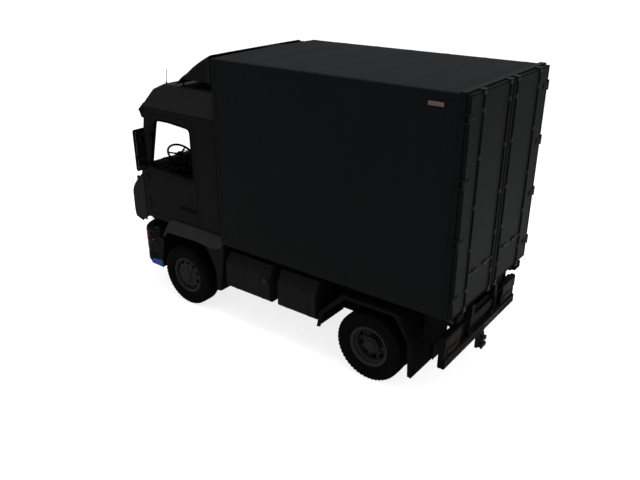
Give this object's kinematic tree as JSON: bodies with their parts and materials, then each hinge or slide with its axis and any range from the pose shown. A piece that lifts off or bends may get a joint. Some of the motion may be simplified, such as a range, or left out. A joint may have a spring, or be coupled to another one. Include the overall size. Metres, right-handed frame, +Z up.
{
  "type": "box truck",
  "caption": "Short-wheelbase rigid truck with a high-roof tilting cab, a tall closed load box with rear barn doors, steered front wheels and twin rear wheels.",
  "frame": {"origin": "on the ground, at the middle of the overall length and width", "axes": "+Z up, the front faces -Y, the driver side is +X"},
  "size_m": [2.88, 6.47, 4.39],
  "materials": {
    "tyre_rubber": "matte black rubber",
    "rim_steel": "dark grey painted steel",
    "glazing": "clear",
    "box_panel": "satin charcoal",
    "box_roof": "satin slate",
    "rear_door_paint": "satin charcoal",
    "floor_boards": "phenolic-faced boards",
    "cab_paint": "charcoal enamel",
    "black_plastic": "grained",
    "tank_metal": "satin dark grey",
    "cab_plastic": "grained",
    "seat_fabric": "woven",
    "lamp_red": "clear gloss",
    "engine_metal": "as cast",
    "chassis_paint": "semi-gloss black"
  },
  "bodies": {
    "chassis": {"frame_rails": "chassis_paint", "crossmembers": "chassis_paint", "box_subframe": "chassis_paint", "engine": "engine_metal", "prop_shaft": "engine_metal", "front_axle": "chassis_paint", "rear_axle": "chassis_paint", "leaf_springs": "chassis_paint", "side_tanks": "tank_metal", "side_lockers": "tank_metal", "rear_mudguards": "black_plastic", "rear_underrun": "chassis_paint", "tail_lamps": "lamp_red", "tow_coupling": "chassis_paint", "front_bumper": "black_plastic", "front_mudguards": "black_plastic", "box_floor": "floor_boards", "box_front_wall": "box_panel", "box_left_wall": "box_panel", "box_right_wall": "box_panel", "box_roof": "box_roof", "box_rear_frame": "rear_door_paint"},
    "left_box_door": {"left_box_door": "rear_door_paint"},
    "right_box_door": {"right_box_door": "rear_door_paint"},
    "left_knuckle": {"left_knuckle": "chassis_paint"},
    "right_knuckle": {"right_knuckle": "chassis_paint"},
    "tie_rod": {"tie_rod": "chassis_paint"},
    "left_front_wheel": {"left_front_tyre": "tyre_rubber", "left_front_rim": "rim_steel"},
    "right_front_wheel": {"right_front_tyre": "tyre_rubber", "right_front_rim": "rim_steel"},
    "left_rear_wheels": {"left_rear_tyres": "tyre_rubber", "left_rear_rims": "rim_steel"},
    "right_rear_wheels": {"right_rear_tyres": "tyre_rubber", "right_rear_rims": "rim_steel"},
    "cab": {"cab_floor": "cab_plastic", "cab_rear_wall": "cab_paint", "cab_front_panel": "cab_paint", "cab_sides": "cab_paint", "cab_roof": "cab_paint", "windscreen": "glazing", "sun_visor": "cab_paint", "roof_deflector": "cab_paint", "dashboard": "cab_plastic", "seats": "seat_fabric"},
    "steering_wheel": {"steering_wheel": "cab_plastic"},
    "left_cab_door": {"left_cab_door": "cab_paint", "left_door_glass": "glazing", "left_mirror": "black_plastic"},
    "right_cab_door": {"right_cab_door": "cab_paint", "right_door_glass": "glazing", "right_mirror": "black_plastic"}
  },
  "joints": [
    {"name": "cab_tilt", "type": "hinge", "parent": "chassis", "child": "cab", "pos_m": [0, -3.01, 1.08], "axis": [1, 0, 0], "range_deg": [0, 60]},
    {"name": "left_steer", "type": "hinge", "parent": "chassis", "child": "left_knuckle", "pos_m": [0.895, -1.845, 0.55], "axis": [0, 0, 1], "range_deg": [-40, 40]},
    {"name": "right_steer", "type": "hinge", "parent": "chassis", "child": "right_knuckle", "pos_m": [-0.895, -1.845, 0.55], "axis": [0, 0, 1], "range_deg": [-40, 40]},
    {"name": "tie_rod_swivel", "type": "hinge", "parent": "left_knuckle", "child": "tie_rod", "pos_m": [0.895, -1.615, 0.45], "axis": [0, 0, 1], "range_deg": [-40, 40]},
    {"name": "left_front_spin", "type": "hinge", "parent": "left_knuckle", "child": "left_front_wheel", "pos_m": [1.08, -1.845, 0.55], "axis": [1, 0, 0], "continuous": true},
    {"name": "right_front_spin", "type": "hinge", "parent": "right_knuckle", "child": "right_front_wheel", "pos_m": [-1.08, -1.845, 0.55], "axis": [1, 0, 0], "continuous": true},
    {"name": "left_rear_spin", "type": "hinge", "parent": "chassis", "child": "left_rear_wheels", "pos_m": [1.0925, 1.955, 0.55], "axis": [1, 0, 0], "continuous": true},
    {"name": "right_rear_spin", "type": "hinge", "parent": "chassis", "child": "right_rear_wheels", "pos_m": [-1.0925, 1.955, 0.55], "axis": [1, 0, 0], "continuous": true},
    {"name": "steering_wheel_turn", "type": "hinge", "parent": "cab", "child": "steering_wheel", "pos_m": [0.56, -2.465, 2.48], "axis": [0, 0.5736, 0.8191], "range_deg": [-720, 720]},
    {"name": "left_cab_door_hinge", "type": "hinge", "parent": "cab", "child": "left_cab_door", "pos_m": [1.162, -2.694, 1.735], "axis": [0, 0, 1], "range_deg": [-75, 0]},
    {"name": "right_cab_door_hinge", "type": "hinge", "parent": "cab", "child": "right_cab_door", "pos_m": [-1.162, -2.694, 1.735], "axis": [0, 0, 1], "range_deg": [0, 75]},
    {"name": "left_box_door_hinge", "type": "hinge", "parent": "chassis", "child": "left_box_door", "pos_m": [1.27, 3.219, 2.9], "axis": [0, 0, 1], "range_deg": [-265, 0]},
    {"name": "right_box_door_hinge", "type": "hinge", "parent": "chassis", "child": "right_box_door", "pos_m": [-1.27, 3.219, 2.9], "axis": [0, 0, 1], "range_deg": [0, 265]}
  ],
  "couplings": [
    {"joint": "right_steer", "follows": "left_steer", "ratio": 1},
    {"joint": "tie_rod_swivel", "follows": "left_steer", "ratio": -1},
    {"joint": "steering_wheel_turn", "follows": "left_steer", "ratio": 18}
  ]
}
